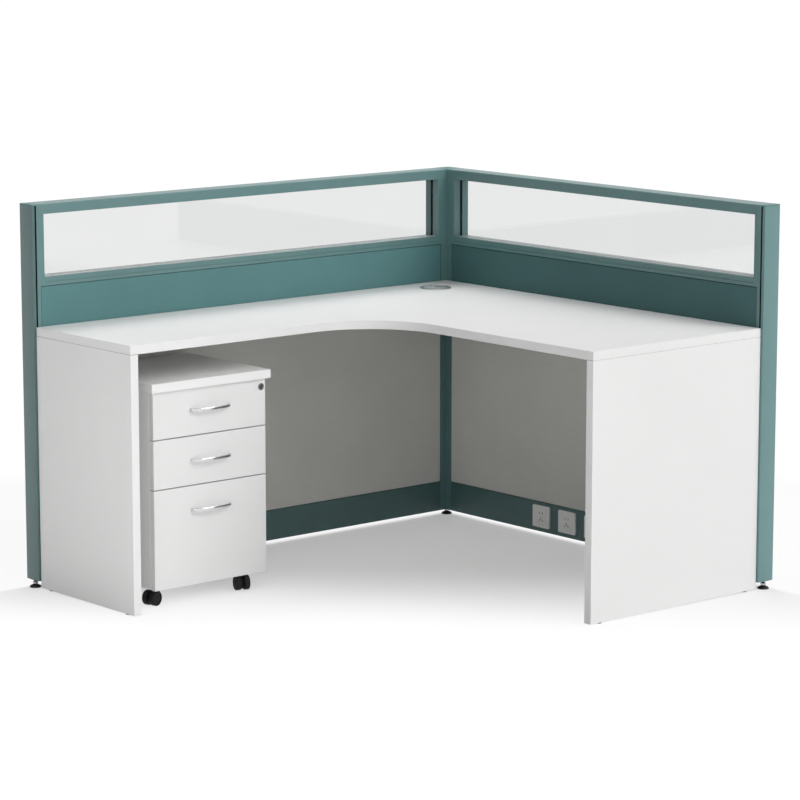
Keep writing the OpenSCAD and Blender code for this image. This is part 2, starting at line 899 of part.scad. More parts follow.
// Pedestal carcass
module ped_top() {
    color(white) block([ped_x0, ped_y0, ped_z1], [ped_x1, ped_y1, ped_h]);
}

module ped_sides() {
    t = ped_board_t;
    color(white) difference() {
        union() {
            block([car_x0, car_y0, ped_lift], [car_x0 + t, car_y1, ped_z1]);
            block([car_x1 - t, car_y0, ped_lift], [car_x1, car_y1, ped_z1]);
        }
        block([car_x1 - t - over, car_y0 - over, lock_z - pocket_h / 2],
            [car_x1 - pocket_skin, car_y0 + pocket_l, lock_z + pocket_h / 2]);
    }
}

module ped_back() {
    t = ped_board_t;
    color(white) block([car_x0 + t, car_y1 - t, ped_lift + t],
        [car_x1 - t, car_y1, ped_z1]);
}

module ped_bottom() {
    t = ped_board_t;
    color(white) difference() {
        block([car_x0 + t, car_y0, ped_lift], [car_x1 - t, car_y1, ped_lift + t]);
        for (c = castors) translate([c[0], c[1], ped_lift - over])
            cylinder(d = stem_dia + 2 * pin_fit, h = stem_l + 2 * over, $fn = 32);
    }
}

// Runners: a channel on the carcass side and a sliding member on the box
module runner(x, side, z0) {
    y0 = car_y0 + runner_gap;
    w = runner_wall;
    d = runner_space - w;
    difference() {
        block([x, y0, z0], [x + d, y0 + runner_l, z0 + runner_h]);
        block([x + (side > 0 ? w : -over), y0 - over, z0 + w],
            [x + d + (side > 0 ? over : -w), y0 + runner_l + over,
            z0 + runner_h - w]);
    }
}

module runner_pair(box_z0) {
    t = ped_board_t;
    z0 = box_z0 + runner_rise;
    runner(car_x0 + t, 1, z0);
    runner(car_x1 - t - runner_space + runner_wall, -1, z0);
}

box_z = [f1_z0 + box_rise, f2_z0 + box_rise, f3_z0 + box_3_rise];

module drawer_runners() {
    color(steel) for (z = box_z) runner_pair(z);
}

module slide_members(box_z0) {
    w = runner_wall;
    g = runner_gap;
    z0 = box_z0 + runner_rise + w + g;
    z1 = box_z0 + runner_rise + runner_h - w - g;
    y0 = car_y0 + g;
    zp = (z0 + z1) / 2 - slide_pad_h / 2;
    t = ped_board_t;
    block([car_x0 + t + w + g, y0, z0], [box_x0 - w - g, y0 + runner_l, z1]);
    block([box_x0 - w - g - over, y0, zp], [box_x0, y0 + runner_l,
        zp + slide_pad_h]);
    block([box_x1 + w + g, y0, z0], [car_x1 - t - w - g, y0 + runner_l, z1]);
    block([box_x1, y0, zp], [box_x1 + w + g + over, y0 + runner_l,
        zp + slide_pad_h]);
}

module drawer_box(z0, h) {
    w = box_wall;
    y0 = front_y1;
    y1 = y0 + box_l;
    color(pale) union() {
        difference() {
            block([box_x0, y0, z0], [box_x1, y1, z0 + h]);
            block([box_x0 + w, y0 + w, z0 + box_floor_rise + box_floor],
                [box_x1 - w, y1 - w, z0 + h + over]);
            block([box_x0 + w, y0 + w, z0 - over],
                [box_x1 - w, y1 - w, z0 + box_floor_rise]);
        }
        slide_members(z0);
    }
}

module drawer_front(z0, z1) {
    i = front_inset;
    color(white) block([car_x0 + i, front_y0, z0], [car_x1 - i, front_y1, z1]);
}

// Bow handle: an arc between two feet
module handle(z) {
    half = handle_l / 2;
    r = (half * half + handle_out * handle_out) / (2 * handle_out);
    ri = r - handle_t;
    y_arc = front_y0 - handle_out + r;
    color(steel) translate([car_mid, 0, z - handle_h / 2]) intersection() {
        union() {
            difference() {
                translate([0, y_arc, 0]) cylinder(r = r, h = handle_h, $fn = 128);
                translate([0, y_arc, -over])
                    cylinder(r = ri, h = handle_h + 2 * over, $fn = 128);
            }
            for (s = [-1, 1]) {
                a = s * (half - handle_foot_l);
                b = s * half;
                block([min(a, b), front_y0 - handle_t, 0],
                    [max(a, b), front_y0, handle_h]);
            }
        }
        block([-half, front_y0 - handle_out - over, -over],
            [half, front_y0, handle_h + over]);
    }
}

// Lock
module lock_barrel() {
    translate([lock_x, front_y0, lock_z]) rotate([-90, 0, 0]) color(steel)
        difference() {
            union() {
                translate([0, 0, -lock_flange_h])
                    cylinder(d = lock_flange_dia, h = lock_flange_h);
                translate([0, 0, -over]) cylinder(d = lock_body_dia,
                    h = front_t + over);
            }
            translate([0, 0, -lock_flange_h - over])
                cylinder(d = plug_dia + 2 * plug_gap,
                    h = front_t + lock_flange_h + 2 * over);
        }
}

module lock_bore() {
    translate([lock_x, front_y0 - over, lock_z]) rotate([-90, 0, 0])
        cylinder(d = lock_body_dia, h = front_t + 2 * over);
}

module lock_plug() {
    cam_y = front_t + plug_tail - cam_t;
    translate([lock_x, front_y0, lock_z]) rotate([-90, 0, 0]) color(steel)
        difference() {
            union() {
                translate([0, 0, -lock_flange_h])
                    cylinder(d = plug_dia, h = lock_flange_h + front_t + plug_tail);
                translate([-cam_w / 2, 0, cam_y]) cube([cam_w, cam_reach, cam_t]);
            }
            translate([-key_w / 2, -key_l / 2, -lock_flange_h - over])
                cube([key_w, key_l, key_d + over]);
        }
}

// Castors, drawn with the swivel axis at the origin and the wheels towards +X
module castor(c) {
    z_top = ped_lift - collar_gap;
    z_ax = wheel_r_out;
    translate([c[0], c[1], 0]) rotate([0, 0, c[2]]) color(black) difference() {
        union() {
            translate([0, 0, z_top - collar_h]) cylinder(d = collar_dia, h = collar_h);
            translate([0, 0, z_top - over])
                cylinder(d = stem_dia, h = stem_l + collar_gap + over, $fn = 32);
            block([-collar_dia / 2, -hood_t / 2, z_ax],
                [collar_dia / 2, hood_t / 2, z_top - over]);
            block([0, -hood_t / 2, z_ax], [trail, hood_t / 2, z_ax + hood_dia / 2]);
            translate([trail, 0, z_ax]) rotate([90, 0, 0])
                translate([0, 0, -hood_t / 2]) cylinder(d = hood_dia, h = hood_t);
        }
        translate([trail, 0, z_ax]) rotate([90, 0, 0])
            translate([0, 0, -hood_t / 2 - over])
                cylinder(d = axle_dia + 2 * pin_fit, h = hood_t + 2 * over, $fn = 32);
    }
}

module wheel_pair(c) {
    half = hood_t / 2 + wheel_gap;
    z_ax = wheel_r_out;
    r = wheel_r;
    translate([c[0], c[1], 0]) rotate([0, 0, c[2]]) color(black)
        translate([trail, 0, z_ax]) rotate([90, 0, 0]) union() {
            translate([0, 0, -half - over])
                cylinder(d = axle_dia, h = 2 * (half + over), $fn = 32);
            for (s = [0, 1]) mirror([0, 0, s]) translate([0, 0, half]) {
                cylinder(d = wheel_dia, h = wheel_w - r);
                translate([0, 0, wheel_w - r - over])
                    cylinder(d1 = wheel_dia, d2 = wheel_dia - 2 * r, h = r + over);
            }
        }
}

module end_post_back() { on_back() color(teal) end_post(back_l); }
module end_post_side() { on_side() color(teal) end_post(side_l); }
module end_caps() {
    color(teal) {
        on_back() end_cap(back_l);
        on_side() end_cap(side_l);
    }
}
module back_top_rail() { on_back() color(teal) top_rail(back_l); }
module side_top_rail() { on_side() color(teal) top_rail(side_l); }
module back_mid_rail() { on_back() color(teal) mid_rail(back_l); }
module side_mid_rail() { on_side() color(teal) mid_rail(side_l); }
module back_desk_rail() { on_back() color(steel) desk_rail(back_l); }
module side_desk_rail() { on_side() color(steel) desk_rail(side_l); }
module back_base_rail() { on_back() color(steel) base_rail(back_l, false); }
module side_base_rail() { on_side() color(steel) base_rail(side_l, true); }
module back_stiles() { on_back() color(teal) stiles(back_l); }
module side_stiles() { on_side() color(teal) stiles(side_l); }
module back_glass() { on_back() color(clear) pane(back_l); }
module side_glass() { on_side() color(clear) pane(side_l); }
module glass_seals() {
    color(black) {
        on_back() seal(back_l);
        on_side() seal(side_l);
    }
}
module back_upper_tiles() {
    on_back() color(teal) difference() {
        both_faces() tile(back_l, split_z, mid_z0);
        bracket_pilots(back_l);
    }
}
module side_upper_tiles() {
    on_side() color(teal) difference() {
        both_faces() tile(side_l, split_z, mid_z0);
        bracket_pilots(side_l);
    }
}
module back_lower_panels() {
    on_back() color(grey) difference() {
        both_faces() tile(back_l, kick_z1, split_z);
        bracket_pilots(back_l);
    }
}
module side_lower_panels() {
    on_side() color(grey) difference() {
        both_faces() tile(side_l, kick_z1, split_z);
        bracket_pilots(side_l);
    }
}
module back_kick_covers() { on_back() color(teal) both_faces() kick_cover(back_l); }
module side_kick_covers() {
    on_side() color(teal) difference() {
        both_faces() kick_cover(side_l);
        outlet_holes(-over, tile_recess + kick_wall + over, outlet_box_gap);
    }
}
module outlet_plates() {
    on_side() color(pale)
        for (i = [0:2]) outlet(-outlet_first - i * outlet_pitch);
}
module foot_back() {
    on_back() foot(-back_l + foot_end_inset + foot_stem_dia / 2, screen_t / 2);
}
module foot_corner() { on_back() foot(screen_t / 2, screen_t / 2); }
module foot_side() {
    on_side() foot(-side_l + foot_end_inset + foot_stem_dia / 2, screen_t / 2);
}
module desk_brackets() { color(steel) at_angles() angle(); }
module bracket_screws() { color(steel) at_angles() angle_screws(); }
module drawer_1_front() {
    difference() {
        drawer_front(f1_z0, f1_z1);
        lock_bore();
    }
}
module drawer_2_front() { drawer_front(f2_z0, f2_z1); }
module drawer_3_front() { drawer_front(f3_z0, f3_z1); }
module drawer_1_box() { drawer_box(box_z[0], box_1_h); }
module drawer_2_box() { drawer_box(box_z[1], box_2_h); }
module drawer_3_box() { drawer_box(box_z[2], box_3_h); }
module drawer_1_handle() { handle(f1_z1 - handle_1_drop); }
module drawer_2_handle() { handle(f2_z1 - handle_2_drop); }
module drawer_3_handle() { handle(f3_z1 - handle_3_drop); }
module castor_1() { castor(castors[0]); }
module castor_2() { castor(castors[1]); }
module castor_3() { castor(castors[2]); }
module castor_4() { castor(castors[3]); }
module wheels_1() { wheel_pair(castors[0]); }
module wheels_2() { wheel_pair(castors[1]); }
module wheels_3() { wheel_pair(castors[2]); }
module wheels_4() { wheel_pair(castors[3]); }

corner_post();
corner_cap();
end_post_back();
end_post_side();
end_caps();
back_top_rail();
back_mid_rail();
back_desk_rail();
back_base_rail();
back_stiles();
side_top_rail();
side_mid_rail();
side_desk_rail();
side_base_rail();
side_stiles();
back_glass();
side_glass();
glass_seals();
back_upper_tiles();
side_upper_tiles();
back_lower_panels();
side_lower_panels();
back_kick_covers();
side_kick_covers();
outlet_plates();
foot_back();
foot_corner();
foot_side();
desktop();
end_panel_back();
end_panel_side();
desk_brackets();
bracket_screws();
panel_glides();
grommet_ring();
grommet_lid();
ped_top();
ped_sides();
ped_back();
ped_bottom();
drawer_runners();
drawer_1_front();
drawer_2_front();
drawer_3_front();
drawer_1_box();
drawer_2_box();
drawer_3_box();
drawer_1_handle();
drawer_2_handle();
drawer_3_handle();
lock_barrel();
lock_plug();
castor_1();
castor_2();
castor_3();
castor_4();
wheels_1();
wheels_2();
wheels_3();
wheels_4();
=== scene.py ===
import json
import math

import bmesh
import bpy
from mathutils import Matrix, Vector


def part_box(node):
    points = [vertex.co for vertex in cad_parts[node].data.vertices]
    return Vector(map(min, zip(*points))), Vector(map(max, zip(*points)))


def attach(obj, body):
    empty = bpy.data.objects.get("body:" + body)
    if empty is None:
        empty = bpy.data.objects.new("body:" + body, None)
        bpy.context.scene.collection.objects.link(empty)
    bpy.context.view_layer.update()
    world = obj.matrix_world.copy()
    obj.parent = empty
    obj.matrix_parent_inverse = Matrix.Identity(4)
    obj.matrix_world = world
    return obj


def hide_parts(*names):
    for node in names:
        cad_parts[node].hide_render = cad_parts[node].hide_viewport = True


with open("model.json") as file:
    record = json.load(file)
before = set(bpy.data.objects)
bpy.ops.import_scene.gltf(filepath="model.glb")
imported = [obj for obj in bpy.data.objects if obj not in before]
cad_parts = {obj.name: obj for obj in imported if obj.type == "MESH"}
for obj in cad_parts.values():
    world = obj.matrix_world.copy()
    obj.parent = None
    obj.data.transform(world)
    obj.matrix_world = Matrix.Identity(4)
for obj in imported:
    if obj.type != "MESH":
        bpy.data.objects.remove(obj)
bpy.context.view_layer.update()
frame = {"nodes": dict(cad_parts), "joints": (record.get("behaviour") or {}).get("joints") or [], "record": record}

NODES = frame["nodes"]
BODY_OF = {
    node: body
    for body, members in frame["record"]["behaviour"]["bodies"].items()
    for node in members
}
SLOT_OF = {part["node"]: part["material_slot"] for part in frame["record"]["subparts"]}
JOINTS = {entry["name"]: entry for entry in frame["joints"]}

# Lengths are in metres
MM = 0.001


# Materials

NOISE_ROUGH = 0.55
# The roughness varies by this share of itself, and that of cloth by this much
ROUGH_SHARE = 0.12
CLOTH_ROUGH_VARY = 0.08
# Cloth: width of a thread, how far the weave stands out, and the scale of its patches
THREAD = 0.9 * MM
WEAVE_DEPTH = 0.25 * MM
CLOTH_SHEEN = 0.05
CLOTH_PATCH = 5.0
# The uneven places of the threads are long across and thin in z
SLUB_STRETCH = (30, 30, 700)
# Glass: its tint, also as a share where it is darkest, and its smears
GLASS_TINT = (0.805, 0.81, 0.81)
GLASS_DARKEST = 0.985
GLASS_IOR = 1.45
GLASS_SPECULAR = 0.3
GLASS_SMEAR = 3.0
GLASS_HAZE = 0.03
GLASS_WAVE = 0.02
GLASS_WAVE_DEPTH = 0.1 * MM


def new_material(name):
    """A new node material, its tree and its Principled shader."""
    mat = bpy.data.materials.new(name)
    mat.use_nodes = True
    return mat, mat.node_tree, mat.node_tree.nodes["Principled BSDF"]


def link(tree, output, target):
    tree.links.new(output, target)


def object_coords(tree, scale=(1, 1, 1)):
    """The piece's own coordinates, in metres, stretched by scale."""
    coords = tree.nodes.new("ShaderNodeTexCoord")
    mapping = tree.nodes.new("ShaderNodeMapping")
    mapping.inputs["Scale"].default_value = scale
    link(tree, coords.outputs["Object"], mapping.inputs["Vector"])
    return mapping.outputs["Vector"]


def axes(tree, vector):
    """The X, Y and Z values of a vector."""
    split = tree.nodes.new("ShaderNodeSeparateXYZ")
    link(tree, vector, split.inputs["Vector"])
    return split.outputs


def noise(tree, vector, scale, detail=3.0):
    n = tree.nodes.new("ShaderNodeTexNoise")
    n.inputs["Scale"].default_value = scale
    n.inputs["Detail"].default_value = detail
    n.inputs["Roughness"].default_value = NOISE_ROUGH
    link(tree, vector, n.inputs["Vector"])
    return n.outputs["Fac"]


def ramp(tree, value, low, high, from_min=0.3, from_max=0.7):
    """value, mapped from its usual range to low..high."""
    m = tree.nodes.new("ShaderNodeMapRange")
    m.inputs["From Min"].default_value = from_min
    m.inputs["From Max"].default_value = from_max
    m.inputs["To Min"].default_value = low
    m.inputs["To Max"].default_value = high
    link(tree, value, m.inputs["Value"])
    return m.outputs["Result"]


def smooth_rise(tree, value, low, from_min, from_max):
    """low up to from_min, then a smooth rise to 1 at from_max."""
    m = tree.nodes.new("ShaderNodeMapRange")
    m.interpolation_type = "SMOOTHSTEP"
    m.inputs["From Min"].default_value = from_min
    m.inputs["From Max"].default_value = from_max
    m.inputs["To Min"].default_value = low
    link(tree, value, m.inputs["Value"])
    return m.outputs["Result"]


def mix_colours(tree, factor, a, b):
    m = tree.nodes.new("ShaderNodeMix")
    m.data_type = "RGBA"
    m.inputs["A"].default_value = (*a, 1)
    m.inputs["B"].default_value = (*b, 1)
    link(tree, factor, m.inputs["Factor"])
    return m.outputs["Result"]


def math_node(tree, operation, a, b=None):
    m = tree.nodes.new("ShaderNodeMath")
    m.operation = operation
    for i, value in enumerate((a, b)):
        if value is None:
            continue
        if isinstance(value, (int, float)):
            m.inputs[i].default_value = value
        else:
            link(tree, value, m.inputs[i])
    return m.outputs["Value"]


def vector_node(tree, operation, vector, other=None):
    """The number that the operation gives for a vector, or for it and a fixed one."""
    n = tree.nodes.new("ShaderNodeVectorMath")
    n.operation = operation
    link(tree, vector, n.inputs[0])
    if other is not None:
        n.inputs[1].default_value = other
    return n.outputs["Value"]


def add_bump(tree, shader, height, strength, distance):
    b = tree.nodes.new("ShaderNodeBump")
    b.inputs["Strength"].default_value = strength
    b.inputs["Distance"].default_value = distance
    link(tree, height, b.inputs["Height"])
    link(tree, b.outputs["Normal"], shader.inputs["Normal"])


def shade(colour, factor):
    return tuple(max(0.0, min(1.0, c * factor)) for c in colour)


def varied(tree, value, colour, vary):
    """The colour, a share darker to lighter as value changes."""
    return mix_colours(
        tree, ramp(tree, value, 0, 1), shade(colour, 1 - vary), shade(colour, 1 + vary)
    )


def surface(name, colour, rough, metallic=0.0, vary=0.04, patch=6.0, grain=900.0,
            bump=0.15, depth=0.05 * MM, specular=0.5, stretch=(1, 1, 1)):
    """A procedural finish: soft colour patches, varied roughness and a fine grain."""
    mat, tree, shader = new_material(name)
    where = object_coords(tree, stretch)
    patches = noise(tree, where, patch)
    fine = noise(tree, where, grain, detail=2.0)
    link(tree, varied(tree, patches, colour, vary), shader.inputs["Base Color"])
    low, high = rough * (1 - ROUGH_SHARE), min(1.0, rough * (1 + ROUGH_SHARE))
    link(tree, ramp(tree, fine, low, high), shader.inputs["Roughness"])
    shader.inputs["Metallic"].default_value = metallic
    shader.inputs["Specular IOR Level"].default_value = specular
    add_bump(tree, shader, fine, bump, depth)
    return mat


def woven(name, colour, rough, vary, strength, specular):
    """Plain-weave cloth on an upright face. Threads run along z and along x + y,
    so both screens get the same weave."""
    mat, tree, shader = new_material(name)
    where = tree.nodes.new("ShaderNodeTexCoord").outputs["Object"]
    split = axes(tree, where)
    turns = math.pi / THREAD
    u = math_node(tree, "MULTIPLY", math_node(tree, "ADD", split["X"], split["Y"]), turns)
    v = math_node(tree, "MULTIPLY", split["Z"], turns)
    weave = math_node(
        tree, "MULTIPLY", math_node(tree, "SINE", u), math_node(tree, "SINE", v)
    )
    over = math_node(tree, "ABSOLUTE", weave)
    patches = noise(tree, where, CLOTH_PATCH)
    slub = noise(tree, object_coords(tree, SLUB_STRETCH), 1.0, detail=4.0)
    blend = math_node(
        tree, "ADD", math_node(tree, "MULTIPLY", slub, 0.5),
        math_node(tree, "MULTIPLY", patches, 0.5),
    )
    link(tree, varied(tree, blend, colour, vary), shader.inputs["Base Color"])
    low, high = rough - CLOTH_ROUGH_VARY, rough + CLOTH_ROUGH_VARY
    link(tree, ramp(tree, slub, low, high), shader.inputs["Roughness"])
    shader.inputs["Sheen Weight"].default_value = CLOTH_SHEEN
    shader.inputs["Specular IOR Level"].default_value = specular
    add_bump(tree, shader, over, strength, WEAVE_DEPTH)
    return mat


def glass(name, colour):
    """Clear glass with a trace of haze and uneven smears."""
    mat, tree, shader = new_material(name)
    smear = noise(tree, object_coords(tree), GLASS_SMEAR, detail=5.0)
    dark = shade(colour, GLASS_DARKEST)
    tint = mix_colours(tree, ramp(tree, smear, 0, 1), dark, colour)
    link(tree, tint, shader.inputs["Base Color"])
    link(tree, ramp(tree, smear, 0.0, GLASS_HAZE), shader.inputs["Roughness"])
    shader.inputs["Transmission Weight"].default_value = 1.0
    shader.inputs["IOR"].default_value = GLASS_IOR
    shader.inputs["Specular IOR Level"].default_value = GLASS_SPECULAR
    add_bump(tree, shader, smear, GLASS_WAVE, GLASS_WAVE_DEPTH)
    return mat


TEAL = (0.120, 0.234, 0.233)
TEAL_CLOTH = (0.073, 0.178, 0.181)
# What several finishes share
COATED = dict(vary=0.05, grain=1400.0)
BOARD = dict(rough=0.5, patch=2.5, grain=650.0, bump=0.12, depth=0.06 * MM,
             specular=0.4)
CLOTH = dict(rough=0.6, vary=0.07, strength=0.35)

# Most finishes have the name of a slot in the record. The others are for the nodes in
# OWN_FINISH and for the pieces that the CAD has no node for
SURFACES = {
    "teal_frame": dict(colour=TEAL, rough=0.34, bump=0.2, specular=0.6, **COATED),
    "teal_cap": dict(colour=shade(TEAL, 1.05), rough=0.48, vary=0.05, grain=1100.0,
                     bump=0.2),
    # Painted shade: the kick covers take a darker copy of the frames' teal, for the shade under the desk
    "kick_teal_painted_shade": dict(colour=shade(TEAL, 0.67), rough=0.4, bump=0.2, **COATED),
    # Painted shade and light: the long screen's free end takes a darker copy of the frames' teal, and the short
    # one's a lighter copy
    "long_end_painted_shade": dict(colour=shade(TEAL, 0.64), rough=0.24, specular=0.7, **COATED),
    "short_end_painted_light": dict(colour=shade(TEAL, 1.2), rough=0.34, bump=0.2, specular=0.6,
                      **COATED),
    "seal": dict(colour=(0.010, 0.018, 0.018), rough=0.7, vary=0.2, bump=0.3,
                 specular=0.3),
    # Painted reflection: the seals above and below the panes are a lighter grey-teal than the upright ones
    "level_seal_painted_reflection": dict(colour=(0.07, 0.10, 0.10), rough=0.6, vary=0.1),
    # Painted reflection: pale strips on the rail tops beside the glass
    "rail_top_painted_reflection": dict(colour=(0.55, 0.60, 0.60), rough=0.35),
    # Painted shade: black strips that fill the grooves beside the end covers
    "groove_painted_shade": dict(colour=(0.004, 0.004, 0.004), rough=0.9, vary=0.1,
                         specular=0.0),
    "bare_aluminium": dict(colour=(0.6, 0.6, 0.61), rough=0.35, metallic=1.0,
                           stretch=(1, 1, 12)),
    "outlet_plastic": dict(colour=(0.94, 0.945, 0.93), rough=0.3, vary=0.02, bump=0.05),
    # Painted shade: dark floors and walls in the outlet slots and the cable slot
    "recess_painted_shade": dict(colour=(0.012, 0.012, 0.012), rough=0.8, vary=0.2),
    # Painted shade: a dark line in the gap between the top and the end panels
    "joint_painted_shade": dict(colour=(0.045, 0.045, 0.045), rough=0.8, vary=0.1),
    "foot_black": dict(colour=(0.012, 0.012, 0.013), rough=0.4, vary=0.3),
    "glide_plastic": dict(colour=(0.015, 0.015, 0.015), rough=0.6, vary=0.3),
    "white_board": dict(colour=(0.87, 0.87, 0.865), vary=0.012, **BOARD),
    # Painted light: the pedestal's top and sides are lighter than the other white boards, against the shade under
    # the desk
    "pedestal_board_painted_light": dict(colour=(0.94, 0.94, 0.935), vary=0.01, **BOARD),
    "box_board": dict(colour=(0.66, 0.66, 0.64), rough=0.55, vary=0.02, bump=0.12),
    "steel": dict(colour=(0.5, 0.5, 0.52), rough=0.32, metallic=1.0, vary=0.08,
                  patch=40.0),
    "grommet_metal": dict(colour=(0.45, 0.46, 0.47), rough=0.3, metallic=0.6, vary=0.05,
                          patch=60.0),
    "lid_metal": dict(colour=(0.66, 0.67, 0.67), rough=0.36, metallic=0.25, patch=60.0),
    "handle_chrome": dict(colour=(0.72, 0.72, 0.73), rough=0.14, metallic=1.0,
                          vary=0.03, patch=80.0, bump=0.03, stretch=(1, 1, 6)),
    "lock_chrome": dict(colour=(0.55, 0.55, 0.56), rough=0.2, metallic=1.0, vary=0.05,
                        patch=120.0, bump=0.04),
    "lock_plug": dict(colour=(0.16, 0.16, 0.165), rough=0.3, metallic=1.0, vary=0.1,
                      patch=120.0, bump=0.04),
    "castor_plastic": dict(colour=(0.014, 0.014, 0.014), rough=0.5, vary=0.3,
                           grain=1500.0, specular=0.3),
    "wheel_plastic": dict(colour=(0.012, 0.012, 0.012), rough=0.6, vary=0.2,
                          grain=1500.0, specular=0.2),
}
CLOTHS = {
    "grey_fabric": dict(colour=(0.70, 0.70, 0.665), rough=0.85, vary=0.06, strength=0.5,
                        specular=0.25),
    # Painted light and shade: the back screen's tiles take a lighter copy of the teal cloth and the side screen's
    # a darker one
    "back_cloth_painted_light": dict(colour=shade(TEAL_CLOTH, 1.28), specular=0.45, **CLOTH),
    "side_cloth_painted_shade": dict(colour=shade(TEAL_CLOTH, 0.84), specular=0.35, **CLOTH),
}
MATERIALS = {name: surface(name, **look) for name, look in SURFACES.items()}
MATERIALS.update({name: woven(name, **look) for name, look in CLOTHS.items()})
MATERIALS["glass"] = glass("glass", GLASS_TINT)

# Nodes whose finish isn't the one of their slot
OWN_FINISH = {
    "lock_plug": "lock_plug", "grommet_lid": "lid_metal",
    "end_post_back": "long_end_painted_shade", "end_post_side": "short_end_painted_light",
    "ped_top": "pedestal_board_painted_light", "ped_sides": "pedestal_board_painted_light",
    "back_kick_covers": "kick_teal_painted_shade", "side_kick_covers": "kick_teal_painted_shade",
    "back_upper_tiles": "back_cloth_painted_light", "side_upper_tiles": "side_cloth_painted_shade",
}


def finish_of(node):
    return MATERIALS[OWN_FINISH.get(node, SLOT_OF[node])]


# Pieces

# Edges are rounded where two faces meet at more than this, in degrees
SHARP = 30
LATHE_SHARP = 35
BEVEL_STEPS = 2
# Only an edge at least this many times longer than the rounding's width takes it
LONG_ENOUGH = 1.5
# Faces that differ by less than this, in degrees, are one flat face
FLAT = 0.5
# Points closer than this are one: those of the CAD meshes and of turned pieces
SAME_CAD_POINT = 1e-6
SAME_POINT = 1e-7
SHORTEST_EDGE = 1e-8
# Pieces whose gentle folds stay crisp, and the folds meant, in degrees
FOLDED = ("end_post_back", "end_post_side", "end_caps", "back_top_rail", "side_top_rail")
FOLD_LEAST = 5
FOLD_MOST = 30


def put_on(obj, node):
    """obj rides on the node's body."""
    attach(obj, BODY_OF[node])


def stand_for(obj, node):
    """obj rides on the node's body and is shown in place of the node."""
    put_on(obj, node)
    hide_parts(node)


def make_object(name, bm, mat):
    """The shape in bm as a new object of this material."""
    mesh = bpy.data.meshes.new(name)
    bm.to_mesh(mesh)
    bm.free()
    mesh.materials.append(mat)
    obj = bpy.data.objects.new(name, mesh)
    bpy.context.scene.collection.objects.link(obj)
    return obj


def clean_copy(node, width):
    """The shape of a CAD node with its flat faces joined up again. The edges that can
    take a rounding of this width are marked for it."""
    bm = bmesh.new()
    bm.from_mesh(NODES[node].data)
    bmesh.ops.remove_doubles(bm, verts=bm.verts, dist=SAME_CAD_POINT)
    bmesh.ops.dissolve_limit(
        bm, angle_limit=math.radians(FLAT), verts=bm.verts, edges=bm.edges
    )
    for f in bm.faces:
        f.smooth = True
    if node in FOLDED:
        for e in bm.edges:
            bend = math.degrees(e.calc_face_angle(0))
            e.smooth = not FOLD_LEAST < bend < FOLD_MOST
    weight = bm.edges.layers.float.new("bevel_weight_edge")
    for e in bm.edges:
        sharp = e.is_manifold and e.calc_face_angle(0) > math.radians(SHARP)
        if sharp and e.calc_length() > LONG_ENOUGH * width:
            e[weight] = 1.0
    return bm


def soften(node, width):
    """The CAD node with rounded edges, shown in its place."""
    obj = make_object("look_" + node, clean_copy(node, width), finish_of(node))
    if width:
        mod = obj.modifiers.new("bevel", "BEVEL")
        mod.width = width
        mod.segments = BEVEL_STEPS
        mod.limit_method = "WEIGHT"
        mod.use_clamp_overlap = False
        even = obj.modifiers.new("even", "WEIGHTED_NORMAL")
        even.keep_sharp = True
    stand_for(obj, node)


# The rounding of each carried-over node's edges, in mm
EDGE_RADIUS = {
    "desktop": 1.2, "end_panel_back": 0.9, "end_panel_side": 0.9,
    "ped_top": 1.2, "ped_sides": 0.7, "ped_back": 0.5, "ped_bottom": 0.5,
    "drawer_1_front": 1.0, "drawer_2_front": 1.0, "drawer_3_front": 1.0,
    "drawer_1_box": 0.5, "drawer_2_box": 0.5, "drawer_3_box": 0.5,
    "corner_post": 0.8, "corner_cap": 0.0, "end_caps": 0.8,
    "end_post_back": 0.8, "end_post_side": 0.8,
    "back_top_rail": 0.6, "side_top_rail": 0.6, "back_mid_rail": 0.5,
    "side_mid_rail": 0.5, "back_stiles": 0.5, "side_stiles": 0.5,
    "back_desk_rail": 0.5, "side_desk_rail": 0.5, "back_base_rail": 0.5,
    "side_base_rail": 0.5, "back_upper_tiles": 2.0, "side_upper_tiles": 2.0,
    "back_lower_panels": 2.0, "side_lower_panels": 2.0, "back_kick_covers": 0.6,
    "side_kick_covers": 0.6, "outlet_plates": 0.5, "desk_brackets": 0.6,
    "bracket_screws": 0.5, "panel_glides": 0.6, "drawer_runners": 0.3,
    "back_glass": 0.6, "side_glass": 0.6,
    "lock_barrel": 0.4, "lock_plug": 0.3, "grommet_lid": 0.4,
    "castor_1": 0.8, "castor_2": 0.8, "castor_3": 0.8, "castor_4": 0.8,
}


def skin(bm, rings):
    """Faces between each closed ring of points and the next."""
    for a, b in zip(rings, rings[1:]):
        for i in range(len(a)):
            j = (i + 1) % len(a)
            bm.faces.new((a[i], a[j], b[j], b[i]))


def face_outwards(bm, smooth=False):
    bmesh.ops.recalc_face_normals(bm, faces=bm.faces)
    for f in bm.faces:
        f.smooth = smooth


def lathe(name, profile, steps, mat, matrix):
    """A piece turned about +Z and then moved by matrix. profile is a closed list of
    (radius, height)."""
    bm = bmesh.new()
    rings = []
    for k in range(steps):
        a = 2 * math.pi * k / steps
        rings.append([
            bm.verts.new((r * math.cos(a), r * math.sin(a), z)) for r, z in profile
        ])
    skin(bm, rings + rings[:1])
    bmesh.ops.remove_doubles(bm, verts=bm.verts, dist=SAME_POINT)
    bmesh.ops.dissolve_degenerate(bm, edges=bm.edges, dist=SHORTEST_EDGE)
    face_outwards(bm, smooth=True)
    obj = make_object(name, bm, mat)
    obj.data.set_sharp_from_angle(angle=math.radians(LATHE_SHARP))
    obj.data.transform(matrix)
    obj.data.update()
    return obj


